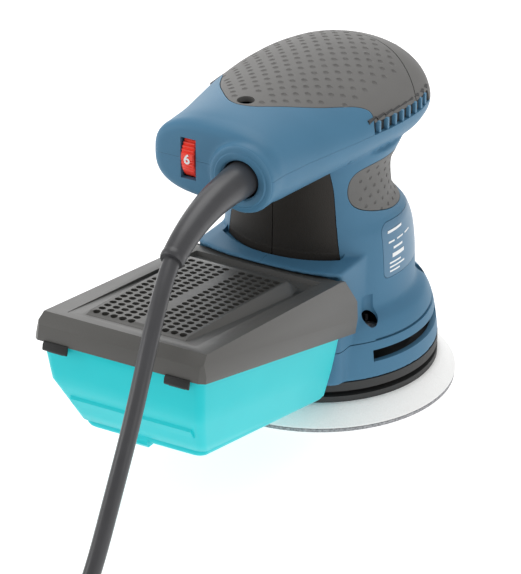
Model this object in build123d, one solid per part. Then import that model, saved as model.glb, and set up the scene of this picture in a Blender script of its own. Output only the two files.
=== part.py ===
"""Random orbital sander, 125 mm pad, palm grip, dust box and mains lead.

Millimetres. +X is the tool's right, +Y its front, +Z up. The origin is the centre of the
sanding face, on the pad's own axis. The motor axis stands one eccentricity behind it.
Every physical piece is a solid of its own, written to parts/NODE.step.
"""
import os
from math import copysign, cos, degrees, pi, radians, sin, tan

from build123d import *

# ---------------------------------------------------------------- driving dimensions
PAD_R = 62.5                # sanding pad, 125 mm
ECCENTRICITY = 1.25         # half of the 2.5 mm orbit
MOTOR_Y = -ECCENTRICITY     # motor axis, pad at its front position
WALL = 2.6                  # plastic shell thickness
GRIP_T = 1.3                # rubber layer on the shells
GAP = 0.3                   # clearance of pieces that pass each other

HOOK_TOP = 1.4              # pad stack, heights of the upper faces
FOAM_TOP = 10.6
PLATE_TOP = 13.4
BRAKE_TOP = 16.0
SKIRT_Z = 20.0              # lower edge of the skirt
SKIRT_TOP = 37.0            # joint between skirt and housing halves
FAN_R = 38.5                # turns inside the screw posts of the skirt
SEAM = [(-130, 141.5), (-28, 137.0), (90, 126.4)]   # Y, Z of the joint under the head cover

BOX_TILT = 13.0             # the dust box rises towards the rear
BOX_PLANE = (-46.0, 45.0)   # Y, Z of the zero point of the box frame
FACE_V = 5.0                # rear face of the dust port block, along the box axis
PORT_W = -13.0              # centre of the dust port, across the box axis
PORT_R = 11.0
BLOCK_HALF = 35.5           # half width of the dust port block

BOSS_X, BOSS_Z = 15.5, 138.0   # mains lead boss in the rear face
REAR_Y = -93.0
FRONT_Y = 53.0
CORD_R = 3.75
CORD_FLOOR = 3.8            # height of the lead's centre on the floor
COIL_X, COIL_Y = -17.75, -345.0
COIL_R = 41.25              # middle of the turns, 11 lead diameters across
COIL_BAND = 22.5            # three turns side by side
COIL_H = 22.6               # three layers

DIAL_X, DIAL_Y, DIAL_Z = -12.2, -81.7, 140.0
DIAL_R, DIAL_WIDTH = 12.5, 6.4
ROCKER_Y, ROCKER_Z, ROCKER_R = 50.5, 127.8, 4.6
ROCKER_HALF = 4.5

# Head, sections across Y: y, half width, top, widest height, bottom, upper and lower exponent.
HEAD = [
    (REAR_Y, 28.5, 155.0, 140.0, 124.5, 2.9, 2.8),
    (-90.0, 30.5, 157.0, 140.0, 122.0, 2.7, 2.8),
    (-84.0, 31.5, 158.4, 140.0, 120.0, 2.35, 2.7),
    (-70.0, 33.5, 159.4, 139.5, 118.0, 2.0, 2.5),
    (-50.0, 37.5, 159.4, 138.5, 116.0, 1.85, 2.2),
    (-26.0, 42.0, 159.2, 137.0, 114.0, 1.8, 2.0),
    (0.0, 43.8, 158.6, 134.7, 112.0, 1.85, 2.0),
    (20.0, 42.0, 156.6, 132.7, 111.0, 1.9, 2.0),
    (36.0, 36.0, 152.5, 131.3, 112.5, 2.0, 2.0),
    (46.0, 27.0, 147.5, 130.5, 116.0, 2.1, 2.0),
    (FRONT_Y, 15.0, 140.5, 130.0, 120.5, 2.2, 2.0),
]
SECTION_POINTS = 28         # points of each head section
SECTION_START = 23          # the first one lies low on the right, clear of every joint
# Skirt, shoulder and neck, level ellipses: z, centre y, half width, half length.
NECK = [
    (SKIRT_Z, 0.0, 54.0, 54.0),
    (29.0, 0.0, 53.0, 53.0),
    (SKIRT_TOP, 0.0, 51.5, 51.5),
    (44.0, 0.0, 48.5, 48.5),
    (49.4, 0.0, 43.2, 43.2),
    (64.0, 0.0, 43.0, 43.0),
    (75.0, -0.5, 42.3, 42.0),
    (83.0, -2.0, 41.0, 40.3),
    (90.0, -5.0, 38.0, 37.0),
    (97.0, -7.5, 36.3, 34.5),
    (107.0, -8.0, 35.8, 34.0),
    (112.0, -8.0, 36.2, 34.5),
    (117.0, -7.0, 38.0, 36.0),
    (124.0, -6.0, 41.0, 37.0),
]
BEARINGS = {            # bore radius, inner land, outer land, outer radius, width, base z, y
    "upper": (3.5, 5.2, 7.8, 9.5, 6.0, 116.5, MOTOR_Y),
    "lower": (5.0, 7.2, 10.8, 13.0, 8.0, 51.5, MOTOR_Y),
    "pad": (6.0, 8.3, 11.7, 14.0, 8.0, 20.0, 0.0),
}
COVER_SCREWS = [(0.0, -65.0, 150.0), (-9.0, 48.0, 143.5), (9.0, 48.0, 143.5)]
SKIRT_SCREWS = [(39.0, -23.4), (-39.0, -23.4), (33.5, 30.8), (-33.5, 30.8)]

os.makedirs("parts", exist_ok=True)


# ---------------------------------------------------------------- helpers
def write(name, shape):
    shape.label = name
    export_step(shape, f"parts/{name}.step")


def group(shapes):
    return Compound(children=[s.solid() if isinstance(s, Part) else s for s in shapes])


def rod(x, y, z0, z1, r):
    """Vertical cylinder between two heights."""
    return Pos(x, y, (z0 + z1) / 2) * Cylinder(r, z1 - z0)


def tube(x, y, z0, z1, r_out, r_in):
    return rod(x, y, z0, z1, r_out) - rod(x, y, z0 - 1, z1 + 1, r_in)


def block(x0, x1, y0, y1, z0, z1):
    return Pos((x0 + x1) / 2, (y0 + y1) / 2, (z0 + z1) / 2) * Box(x1 - x0, y1 - y0, z1 - z0)


def side_prism(points, x0, x1):
    """Outline in Y, Z drawn out along X."""
    face = make_face(Polyline(*[(x0, y, z) for y, z in points], close=True))
    return extrude(face, amount=x1 - x0, dir=(1, 0, 0))


def rear_prism(points, y0, y1):
    """Outline in X, Z drawn out along Y."""
    face = make_face(Polyline(*[(x, y0, z) for x, z in points], close=True))
    return extrude(face, amount=y1 - y0, dir=(0, 1, 0))


def sector(r_out, r_in, a0, a1, z0, z1, y=MOTOR_Y):
    """Part of a ring about the motor axis between two angles."""
    reach = 2 * r_out
    steps = [a0 + (a1 - a0) * k / 4 for k in range(5)]
    rim = [(reach * cos(radians(a)), y + reach * sin(radians(a)), z0) for a in steps]
    wedge = extrude(make_face(Polyline((0, y, z0), *rim, close=True)), amount=z1 - z0, dir=(0, 0, 1))
    return tube(0, y, z0, z1, r_out, r_in) & wedge


def mirrored(shape):
    return [shape, mirror(shape, about=Plane.YZ)]


# ---------------------------------------------------------------- outer forms
def head_face(row, inset=0.0, shift=0.0):
    """Rounded section: an upper and a lower superellipse that share the widest height."""
    y, half, top, side, low, p_top, p_low = row
    half -= inset
    points = []
    for k in range(SECTION_POINTS):
        a = 2 * pi * (k + SECTION_START) / SECTION_POINTS
        c, s = cos(a), sin(a)
        power, height = (p_top, top - side - inset) if s >= 0 else (p_low, side - low - inset)
        x = half * copysign(abs(c) ** (2 / power), c)
        z = side + height * copysign(abs(s) ** (2 / power), s)
        points.append((x, y + shift, z))
    return make_face(Spline(*points, periodic=True))


def head_form(inset=0.0):
    middle = HEAD[2:-1] if inset else HEAD[1:-1]
    faces = [head_face(HEAD[0], inset, inset)]
    faces += [head_face(row, inset) for row in middle]
    faces += [head_face(HEAD[-1], inset, -0.8 * inset)]
    return loft(faces)


def neck_form(inset=0.0, z0=SKIRT_TOP, z1=124.0):
    rows = [row for row in NECK if z0 <= row[0] <= z1]
    faces = [Pos(0, cy, z) * Ellipse(a - inset, b - inset) for z, cy, a, b in rows]
    return loft(faces, ruled=True)


def box_point(v, w):
    """Y, Z of a point given along and across the dust box axis."""
    t = radians(BOX_TILT)
    return (BOX_PLANE[0] - v * cos(t) + w * sin(t), BOX_PLANE[1] + v * sin(t) + w * cos(t))


def port_block():
    """Block behind the skirt that carries the dust port, with a hood over the lid."""
    low = box_point(FACE_V, -22.6)
    high = box_point(FACE_V, 28.4)
    outline = [
        (-15, SKIRT_Z + 0.6), (low[0], SKIRT_Z + 0.6), high,
        (-54, 76.4), (-54, 78.4), (-47, 79.4), (-43.5, 80.4), (-38, 82.5), (-15, 82.5),
    ]
    return side_prism(outline, -BLOCK_HALF, BLOCK_HALF)


BOX_FRAME = Plane(
    origin=(0, BOX_PLANE[0], BOX_PLANE[1]),
    x_dir=(1, 0, 0),
    z_dir=(0, sin(radians(BOX_TILT)), cos(radians(BOX_TILT))),
)   # local x = X, local y = forward along the box, local z = across it


def box_rod(r, v0, v1, w=PORT_W, u=0.0):
    """Cylinder along the dust box axis."""
    place = BOX_FRAME * Pos(u, -(v0 + v1) / 2, w) * Rot(90, 0, 0)
    return place * Cylinder(r, v1 - v0)


def box_block(u0, u1, v0, v1, w0, w1):
    place = BOX_FRAME * Pos((u0 + u1) / 2, -(v0 + v1) / 2, (w0 + w1) / 2)
    return place * Box(u1 - u0, v1 - v0, w1 - w0)


# ---------------------------------------------------------------- shells
head_outer = head_form()
head_inner = head_form(WALL)
head_skin = head_form(GRIP_T)
neck_outer = neck_form()
neck_inner = neck_form(WALL)
port_bore = box_rod(PORT_R + 0.05, -9, FACE_V + 2)

lead_boss = Pos(BOSS_X, REAR_Y, BOSS_Z) * Rot(90, 0, 0) * Cylinder(15.8, 7)
lead_hole = Pos(BOSS_X, REAR_Y, BOSS_Z) * Rot(90, 0, 0) * Cylinder(8.8, 20)
above_seam = side_prism(SEAM + [(90, 180), (-130, 180)], -80, 80)
dial_slot = block(DIAL_X - 3.8, DIAL_X + 3.8, REAR_Y - 5, REAR_Y + 4, DIAL_Z - 9.6, DIAL_Z + 9.6)
rocker_slot = block(-ROCKER_HALF - GAP, ROCKER_HALF + GAP, FRONT_Y - 7, FRONT_Y + 5,
                    ROCKER_Z - ROCKER_R - GAP, ROCKER_Z + ROCKER_R + GAP)


def seam_z(y):
    """Height of the seam, which falls towards the front."""
    (y0, z0), (y1, z1) = SEAM[:2] if y < SEAM[1][0] else SEAM[1:]
    return z0 + (z1 - z0) * (y - y0) / (y1 - y0)


def air_windows():
    cuts = []
    for k in range(9):
        y = -24.5 + 6.2 * k
        z = seam_z(y) + 3.0
        cuts += mirrored(block(28, 50, y - 2.1, y + 2.1, z - 2, z + 2))
    return cuts


def screw_bores():
    """Head recess and shank hole of each cover screw."""
    cuts = []
    for x, y, top in COVER_SCREWS:
        cuts += [rod(x, y, top - 2.5, 175, 3.7), rod(x, y, 122.5, top, 2.05)]
    return cuts


def screw_posts():
    """Posts round the cover screws, through both shells."""
    posts = [rod(x, y, 114 if y < 0 else 117, 170, 5.0 if y < 0 else 3.8) for x, y, _ in COVER_SCREWS]
    return [post & head_skin for post in posts]


def grip_region():
    """Side outline of the rubber on the head: it runs down to the windows in front."""
    outline = [
        (-71, 175), (-70.5, 160.5), (-66, 159), (-60, 157.7), (-53, 156.4), (-44, 154.2),
        (-34, 152.3), (-27, 150.2), (-23, 146), (-22.6, 142), (-27.8, 136), (-20, 120),
        (70, 120), (70, 175),
    ]
    return side_prism(outline, -60, 60)


def side_grip_region():
    """Side outline of the rubber round the front of the neck."""
    outline = [
        (-27, 104), (-26.6, 114), (-24, 117), (-12, 119), (60, 119),
        (60, 87), (11, 88.5), (-8, 92.5), (-20, 96), (-25, 99),
    ]
    return side_prism(outline, -60, 60)


def neck_panel_region():
    return rear_prism([(-27, 76.2), (27, 76.2), (22, 114), (-22, 114)], -60, -20)


def label_region():
    return side_prism([(-13.5, 61), (-13.5, 84.5), (-10, 87), (26, 84), (30, 78), (30, 61)], 20, 60)


def housing():
    """Head cover, both halves, and the rubber and label pieces let into them."""
    form = head_outer + neck_outer + (port_block() & block(-60, 60, -80, 0, SKIRT_TOP, 100)) + lead_boss
    hollow = head_inner + neck_inner
    shell = form - hollow - lead_hole - dial_slot - rocker_slot - port_bore
    grip = (head_outer - head_skin) & grip_region() & above_seam
    cover = (shell & above_seam) - grip
    base = shell - above_seam
    for post in screw_posts():
        cover = cover + (post & above_seam)
        base = base + (post - above_seam)
    cover = cover - air_windows()
    grip = grip - air_windows() - rocker_slot
    for bore in screw_bores():
        cover = cover - bore
        grip = grip - bore
        base = base - bore

    for z in (70, 88):
        cross = block(-9, 9, -60, 60, z, z + 3) + block(-60, 60, -10, 8, z, z + 3)
        base = base + ((neck_inner & cross) - rod(0, MOTOR_Y, 60, 100, 23.6))
    for x, y in SKIRT_SCREWS:
        base = base + (rod(x, y, SKIRT_TOP, 42, 5.0) & neck_outer)
    for x, y in SKIRT_SCREWS:
        base = base - rod(x, y, 40, 56, 3.8) - rod(x, y, 30, 45, 1.9)

    neck_skin = neck_outer - neck_form(GRIP_T)
    free = head_outer + port_block()
    side_grip = neck_skin & side_grip_region() - free
    neck_panel = neck_skin & neck_panel_region() - free
    label = neck_outer - neck_form(0.6)
    label = label & label_region() - free
    base = base - side_grip - neck_panel - label
    left = block(-100, 0, -150, 100, 0, 170)
    right = block(0, 100, -150, 100, 0, 170)
    write("head_cover", cover)
    write("soft_grip", grip)
    write("housing_left", base & left)
    write("housing_right", base & right)
    write("side_grip_left", side_grip & left)
    write("side_grip_right", side_grip & right)
    write("neck_panel_left", neck_panel & left)
    write("neck_panel_right", neck_panel & right)
    write("rating_plate", label)


def skirt():
    """Fan housing under the halves, with the long air slots and the dust port block."""
    outer = neck_form(0, SKIRT_Z, SKIRT_TOP)
    outer = outer + (port_block() & block(-60, 60, -80, 0, SKIRT_Z, SKIRT_TOP))
    floor = tube(0, 0, SKIRT_Z, SKIRT_Z + 2, 52.0, 45.0)
    shell = outer - neck_form(WALL, SKIRT_Z, SKIRT_TOP) + floor - port_bore
    for x, y in SKIRT_SCREWS:
        shell = shell + (rod(x, y, 33.6, SKIRT_TOP, 5.0) & neck_form(0, SKIRT_Z, SKIRT_TOP))
    for x, y in SKIRT_SCREWS:
        shell = shell - rod(x, y, 30, 45, 1.9)
    slots = []
    for a0, a1 in ((-33, 34), (38, 74)):
        slots += mirrored(sector(60, 46, a0, a1, 27.6, 33.0, 0))
    write("skirt", shell - slots)
    write("skirt_ring", tube(0, 0, BRAKE_TOP, SKIRT_Z, 54.0, 42.5))
    write("pad_brake", tube(0, 0, PLATE_TOP + GAP, BRAKE_TOP, 50.5, 44.5))
    write("dust_spigot", box_rod(PORT_R, -2, 15) - box_rod(PORT_R - 1.8, -3, 16))


def screws():
    cover = []
    for x, y, top in COVER_SCREWS:
        foot = 126 if y < 0 else 123
        head = rod(x, y, top - 2.5, top, 3.4) - rod(x, y, top - 1.4, top + 1, 1.6)
        cover.append(head + rod(x, y, foot, top - 2.5, 2.0))
    write("cover_screws", group(cover))
    low = []
    for x, y in SKIRT_SCREWS:
        head = rod(x, y, 40, 42.4, 3.4) - rod(x, y, 41.2, 43, 1.6)
        low.append(head + rod(x, y, 33.8, 40, 1.85))
    write("skirt_screws", group(low))


# ---------------------------------------------------------------- pad
def pad():
    write("hook_face", rod(0, 0, 0, HOOK_TOP, PAD_R - 0.4))
    write("pad_foam", Pos(0, 0, (HOOK_TOP + FOAM_TOP) / 2) * Cone(PAD_R, 55.0, FOAM_TOP - HOOK_TOP))
    plate = rod(0, 0, FOAM_TOP, PLATE_TOP, 54.0)
    holes = [rod(22 * cos(a), 22 * sin(a), 0, 20, 2.05) for a in quarter_turns()]
    write("backing_plate", plate - holes)
    spindle = rod(0, 0, PLATE_TOP, 15.2, 26.5) - [rod(22 * cos(a), 22 * sin(a), 13, 16, 2.05)
                                                  for a in quarter_turns()]
    spindle = spindle + rod(0, 0, 15.2, 20.0, 7.8) + rod(0, 0, 20.0, 30.0, 5.97)
    write("pad_spindle", spindle)
    heads = [rod(22 * cos(a), 22 * sin(a), 15.2, 17.4, 3.4) + rod(22 * cos(a), 22 * sin(a), 11, 15.2, 2.0)
             for a in quarter_turns()]
    write("pad_screws", group(heads))
    write("spindle_nut", Pos(0, 0, 31.3) * extrude(RegularPolygon(7.2, 6), amount=1.3, both=True))


def quarter_turns():
    return [pi / 4 + k * pi / 2 for k in range(4)]


# ---------------------------------------------------------------- bearings
def bearing(name):
    bore, land_in, land_out, outer, width, base, y = BEARINGS[name]
    write(f"{name}_bearing_inner", tube(0, y, base, base + width, land_in, bore))
    write(f"{name}_bearing_outer", tube(0, y, base, base + width, outer, land_out))
    pitch = (land_in + land_out) / 2
    radius = (land_out - land_in) / 2 - 0.05
    count = int(2 * pi * pitch / (2.5 * radius))
    turns = [2 * pi * k / count for k in range(count)]
    balls = [Pos(pitch * cos(a), y + pitch * sin(a), base + width / 2) * Sphere(radius) for a in turns]
    write(f"{name}_bearing_balls", group(balls))


# ---------------------------------------------------------------- rotor
def rotor():
    y = MOTOR_Y
    shaft = rod(0, y, 33.6, 44, 3.97) + rod(0, y, 44, 115.8, 4.97) + rod(0, y, 115.8, 125, 3.47)
    write("motor_shaft", shaft)
    core = rod(0, y, 67, 95, 14.8) - rod(0, y, 60, 100, 5.0)
    slots = [rod(13.2 * cos(a), y + 13.2 * sin(a), 66, 96, 1.2) for a in turns_of(12)]
    write("armature_core", core - slots)
    write("armature_winding", group([tube(0, y, 61.5, 66.9, 13.2, 5.1), tube(0, y, 95.1, 100.5, 13.2, 5.1)]))
    bars = tube(0, y, 102, 113, 9.0, 5.0)
    grooves = [Pos(0, y, 107.5) * Rot(0, 0, degrees(a)) * Pos(9.0, 0, 0) * Box(1.2, 0.5, 12)
               for a in turns_of(18)]
    write("commutator", bars - grooves)
    fan()
    eccentric()


def turns_of(count):
    return [2 * pi * k / count for k in range(count)]


def fan():
    """Disc with cooling blades on top and dust blades under its rim."""
    y = MOTOR_Y
    disc = tube(0, y, 36, 38, FAN_R, 8.05)
    upper = Pos(0, 0, 40.9) * Box(20, 1.4, 6.0)
    lower = Pos(0, 0, 32.2) * Box(4.0, 1.4, 8.0)
    for a in turns_of(14):
        turn = Pos(0, y, 0) * Rot(0, 0, degrees(a))
        disc = disc + turn * Pos(FAN_R - 10, 0, 0) * upper + turn * Pos(FAN_R - 2, 0, 0) * lower
    write("fan", disc)


def eccentric():
    """Hub that carries the pad bearing off centre, with a counterweight opposite."""
    y = MOTOR_Y
    hub = rod(0, y, 19.6, 36, 18.0) + rod(0, y, 36, 43.8, 8.0)
    weight = sector(34.0, 16.0, 205, 335, 24, 33)
    hub = hub + weight
    hub = hub - rod(0, 0, 19, 33.4, 14.03) - rod(0, y, 33, 45, 4.0)
    write("eccentric_hub", hub)


# ---------------------------------------------------------------- motor pieces in the housing
def stator():
    y = MOTOR_Y
    ring = tube(0, y, 67, 95, 23.5, 19.6)
    for a in (62, 242):
        ring = ring + sector(20.0, 15.3, a, a + 56, 67, 95)
    write("stator_core", ring)
    coils = []
    for a in (46, 226):
        coil = sector(19.3, 16.0, a, a + 88, 61.5, 100.5)
        coils.append(coil - sector(21.0, 15.0, a + 14, a + 74, 65.8, 96.2))
    write("field_coils", group(coils))


def brush_gear():
    y = MOTOR_Y
    z = 107.5
    frames, brushes, springs = [], [], []
    for side in (1, -1):
        frame = block(10.4, 26.4, y - 4.6, y + 4.6, z - 5.4, z + 5.4)
        frame = frame - block(9.9, 24.9, y - 3.2, y + 3.2, z - 4.1, z + 4.1)
        brush = block(9.2, 17.0, y - 3.0, y + 3.0, z - 4.0, z + 4.0) - rod(0, y, 100, 115, 9.2)
        rings = [Pos(17.47 + 0.87 * k, y, z) * Rot(0, 90, 0) * Torus(2.3, 0.45) for k in range(9)]
        spring = rings[0] + rings[1:]
        for shape, pile in ((frame, frames), (brush, brushes), (spring, springs)):
            pile.append(shape if side > 0 else mirror(shape, about=Plane.YZ))
    write("brush_holders", group(frames))
    write("carbon_brushes", group(brushes))
    write("brush_springs", group(springs))


def brackets():
    y = MOTOR_Y
    plate = rod(0, y, 50, 53, 38.6) + rod(0, y, 50, 59.5, 16.5)
    plate = plate - rod(0, y, 51.5, 60, 13.03) - rod(0, y, 49, 52, 9.5)
    plate = plate - [rod(28 * cos(a), y + 28 * sin(a), 49, 54, 6.5) for a in turns_of(8)]
    write("bearing_plate", plate)
    bar = block(-30.6, 30.6, y - 6, y + 6, 113.8, 116.4) + rod(0, y, 113.8, 122.6, 12.5)
    bar = bar - rod(0, y, 116.5, 123, 9.53) - rod(0, y, 113, 117, 7.0)
    write("bearing_bracket", bar)


# ---------------------------------------------------------------- controls and electrics
def dial():
    turn = Pos(DIAL_X, DIAL_Y, DIAL_Z) * Rot(0, 90, 0)
    wheel = turn * Cylinder(DIAL_R, DIAL_WIDTH)
    grooves = [turn * Pos(DIAL_R * cos(a), DIAL_R * sin(a), 0) * Cylinder(0.55, DIAL_WIDTH + 1)
               for a in turns_of(36)]
    axle = Pos(DIAL_X + 4.6, DIAL_Y, DIAL_Z) * Rot(0, 90, 0) * Cylinder(2.0, 4.0)
    write("speed_dial", wheel - grooves + axle)
    body = block(-8.4, -3.0, DIAL_Y - 7, DIAL_Y + 7, DIAL_Z - 7, DIAL_Z + 7)
    hole = Pos(-6.4, DIAL_Y, DIAL_Z) * Rot(0, 90, 0) * Cylinder(2.05, 5.0)
    write("dial_potentiometer", body - hole)


def rocker():
    drum = Pos(0, ROCKER_Y, ROCKER_Z) * Rot(0, 90, 0) * Cylinder(ROCKER_R, 2 * ROCKER_HALF)
    paddle = block(-ROCKER_HALF, ROCKER_HALF, ROCKER_Y + 2.0, ROCKER_Y + 6.4,
                   ROCKER_Z - 3.6, ROCKER_Z + 3.6)
    paddle = fillet(paddle.edges().filter_by(Axis.X).group_by(Axis.Y)[-1], 1.6)
    tilt = Pos(0, ROCKER_Y, ROCKER_Z) * Rot(-6, 0, 0) * Pos(0, -ROCKER_Y, -ROCKER_Z)
    write("power_rocker", drum + tilt * paddle)
    body = block(-9, 9, 28, 44.0, 121.5, 134.0)
    body = body - Pos(0, ROCKER_Y, ROCKER_Z) * Rot(0, 90, 0) * Cylinder(ROCKER_R + 0.3, 30)
    write("switch_body", body)


def electronics():
    board = block(-20, 20, -57, -33, 125.0, 126.6)
    parts = block(-16, -6, -53, -42, 126.6, 135) + block(-2, 12, -52, -42, 126.6, 131)
    parts = parts + rod(-11, -37, 126.6, 133, 3.2)
    write("speed_board", board + parts)
    clamp = block(BOSS_X - 8.5, BOSS_X + 8.5, -82, -75, 129.0, 134.0)
    clamp = clamp + block(BOSS_X - 8.5, BOSS_X - 5, -82, -75, 134.0, 139.0)
    clamp = clamp + block(BOSS_X + 5, BOSS_X + 8.5, -82, -75, 134.0, 139.0)
    write("cord_clamp", clamp)


# ---------------------------------------------------------------- mains lead
RELIEF = [(15.5, -88, 138), (15.5, -104, 138), (15.6, -118, 137.3), (15.8, -131, 134.8),
          (16.3, -143.5, 130.8), (17.0, -155.5, 125.3)]
LEAD = [
    (17.0, -155.5, 125.3), (20.2, -169, 116.6), (24.2, -184, 104.5), (28.0, -198.5, 90),
    (30.6, -212, 74), (31.6, -224, 57), (31.5, -244.4, 21.4), (31.3, -257.8, 10.0),
    (31.2, -274.3, 3.8), (32.2, -294, 3.8), (31.0, -318, 3.8),
]
TAIL = [(-67.0, -317.0, 11.3), (-66.5, -306, 12.6), (-66.5, -294, 12.6)]


def lead_path(points):
    """Straight runs joined by arcs as large as the runs allow; prints the radii."""
    radii = []
    for a, b, c in zip(points, points[1:], points[2:]):
        into = Vector(*b) - Vector(*a)
        out = Vector(*c) - Vector(*b)
        turn = radians(into.get_angle(out))
        radii.append(0.45 * min(into.length, out.length) / tan(turn / 2))
    print("lead radii", [round(r) for r in radii])
    if len(points) == 3:
        return FilletPolyline(*points, radius=radii[0])
    return FilletPolyline(*points, radius=radii)


def lead_tube(points):
    path = lead_path(points)
    section = Plane(origin=path @ 0, z_dir=path % 0) * Circle(CORD_R)
    solid = sweep(section, path=path)
    print("lead", round(path.length, 1), "mm, volume ratio",
          round(solid.volume / (pi * CORD_R ** 2 * path.length), 4))
    return solid


def relief():
    """Tapered rubber sleeve that bends down with the lead."""
    line = Spline(*RELIEF, tangents=[(0, -1, 0), Vector(*LEAD[1]) - Vector(*LEAD[0])])
    faces = []
    for k in range(12):
        t = k / 11
        radius = 8.5 - 3.3 * t ** 0.8
        faces.append(Plane(origin=line @ t, z_dir=line % t) * Circle(radius))
    sleeve = loft(faces)
    flange = Pos(BOSS_X, -88.8, BOSS_Z) * Rot(90, 0, 0) * Cylinder(10.0, 1.6)
    write("bend_protector", sleeve + flange)


def coil_form():
    ring = tube(COIL_X, COIL_Y, 0, COIL_H, COIL_R + COIL_BAND / 2, COIL_R - COIL_BAND / 2)
    return fillet(ring.edges(), 3.0)


def plug():
    """Moulded two-pin plug, lying flat, pins forward."""
    x, y, z = TAIL[-1]
    sleeve = Pos(x, y + 9, z) * Rot(-90, 0, 0) * Cone(CORD_R + 0.5, 6.5, 18)
    faces = [Pos(x, y + d, z) * Rot(-90, 0, 0) * RectangleRounded(w, h, r)
             for d, w, h, r in ((18, 17, 15, 6), (30, 29, 20, 7), (44, 33, 22, 8), (50, 36, 25, 9))]
    body = loft(faces, ruled=True)
    write("plug_body", sleeve + body)
    pins = []
    for dx in (-9.5, 9.5):
        pin = Pos(x + dx, y + 58.5, z) * Rot(-90, 0, 0) * Cylinder(2.4, 17)
        pins.append(pin + Pos(x + dx, y + 67, z) * Sphere(2.4))
    write("plug_pins", group(pins))


def mains_lead():
    relief()
    coil = coil_form()
    write("mains_cord_coil", coil)
    write("mains_cord", lead_tube(LEAD) - coil)
    write("mains_cord_tail", lead_tube(TAIL) - coil)
    plug()


# ---------------------------------------------------------------- dust box
LID_W = 5.0                 # joint between lid and bin, across the box axis
BIN_TOP = (40.0, 5.6, 128.0)    # half width, front and rear of the upper rim
BIN_FOOT = (29.0, 5.6, 103.0)
BIN_W = -34.5
BIN_WALL = 1.8
PANEL_HALF = 26.0
HOLE_PITCH = 4.32
HOLE_R = 1.65


def bin_face(size, w, inset=0.0):
    half, front, rear = size
    half -= inset
    front += inset
    rear -= inset
    plan = RectangleRounded(2 * half, rear - front, 7)
    return BOX_FRAME * Pos(0, -(front + rear) / 2, w) * plan


def dust_bin():
    outer = loft([bin_face(BIN_FOOT, BIN_W), bin_face(BIN_TOP, LID_W)])
    inner = loft([bin_face(BIN_FOOT, BIN_W + BIN_WALL, BIN_WALL), bin_face(BIN_TOP, LID_W + 0.01, BIN_WALL)])
    ribs = [box_block(u - 0.6, u + 0.6, 95, 130, BIN_W + 8, LID_W - 1) for u in (-32, -24, -16, -8, 0, 8)]
    shell = outer - inner
    for rib in ribs:
        shell = shell + (rib & outer - inner)
    write("dust_bin", shell - box_rod(PORT_R + 0.5, 0, 9))
    write("inlet_seal", box_rod(14.0, 7.4, 9.2) - box_rod(PORT_R + 0.1, 7, 10))


def rim_w(v):
    """Upper edge of the lid's rim."""
    return 19.0 + 0.0735 * (127 - v)


def gutter_w(v):
    return 19.6 + 0.052 * (115 - v)


def box_side_prism(points, u0, u1):
    """Outline along and across the box axis, drawn out along X."""
    return side_prism([box_point(v, w) for v, w in points], u0, u1)


def dust_lid():
    profile = [(5.6, LID_W), (131, LID_W), (131, 9.5), (127, rim_w(127)), (8, rim_w(8)), (5.6, 22)]
    form = box_side_prism(profile, -42, 42)
    cheek = [(8, LID_W), (-3, LID_W), (-5, 17), (4.8, 27.6), (8, rim_w(8))]
    for u in (-42, 36):
        form = form + box_side_prism(cheek, u, u + 6)
    cut = make_face(Polyline((-42, 150, 0), (-42, 150, 9.5), (-37.4, 150, 32), (37.4, 150, 32),
                             (42, 150, 9.5), (42, 150, 0), close=True))
    taper = BOX_FRAME * extrude(cut, amount=320, dir=(0, -1, 0))
    form = form & taper
    gutter = [(16, gutter_w(16)), (122, gutter_w(122)), (122, 40), (16, 40)]
    form = form - box_side_prism(gutter, -31.5, 31.5)
    panel = [(118, 15), (118, gutter_w(118)), (115, 20.9), (75, 25.6), (33, 29.4), (22.5, gutter_w(22.5)), (22.5, 15)]
    form = form + box_side_prism(panel, -PANEL_HALF, PANEL_HALF)
    hollow = [(9.5, LID_W - 1), (125, LID_W - 1), (125, 15.5), (118, 17.4), (75, 22.6), (34, 26.2),
              (26, 22.6), (9.5, 22.6)]
    form = form - box_side_prism(hollow, -PANEL_HALF + 2, PANEL_HALF - 2)
    sides = [(9.5, LID_W - 1), (125, LID_W - 1), (125, 15.5), (9.5, 21.5)]
    for u in (-36.4, PANEL_HALF - 3):
        form = form - box_side_prism(sides, u, u + 39.4 - PANEL_HALF)
    holes = []
    for row in range(19):
        v = 114.9 - HOLE_PITCH * row
        for column in range(5):
            u = 4.1 + HOLE_PITCH * column
            holes += [box_upright(s * u, v) for s in (1, -1)]
    write("dust_lid", form - holes)


def box_upright(u, v):
    return BOX_FRAME * Pos(u, -v, 24) * Cylinder(HOLE_R, 20)


def filter_element():
    """Pleated paper filter under the lid's perforated field."""
    count = 26
    crests = [(12 + 108 * k / (2 * count), 13.6 if k % 2 else 8.0) for k in range(2 * count + 1)]
    lower = [(v, w - 1.4) for v, w in reversed(crests)]
    write("filter_element", box_side_prism(crests + lower, -23, 23))


def latches():
    pieces = []
    for u in (-30.0, 30.0):
        clip = box_block(u - 6, u + 6, 131.0, 132.4, 0.5, 9.0)
        pieces.append(clip + box_block(u - 6, u + 6, 128.4, 131.0, 0.5, 2.6))
    write("bin_latches", group(pieces))


def build():
    housing()
    skirt()
    screws()
    pad()
    for name in BEARINGS:
        bearing(name)
    rotor()
    stator()
    brush_gear()
    brackets()
    dial()
    rocker()
    electronics()
    mains_lead()
    dust_bin()
    dust_lid()
    filter_element()
    latches()


build()
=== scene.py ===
"""Looks of the random orbital sander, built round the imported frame.

Shapes are worked out in millimetres, in the frame of the CAD model, and written in metres.
"""

from math import cos, pi, radians, sin

import bmesh
import bpy
import numpy as np
from mathutils import Matrix, Vector


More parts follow.
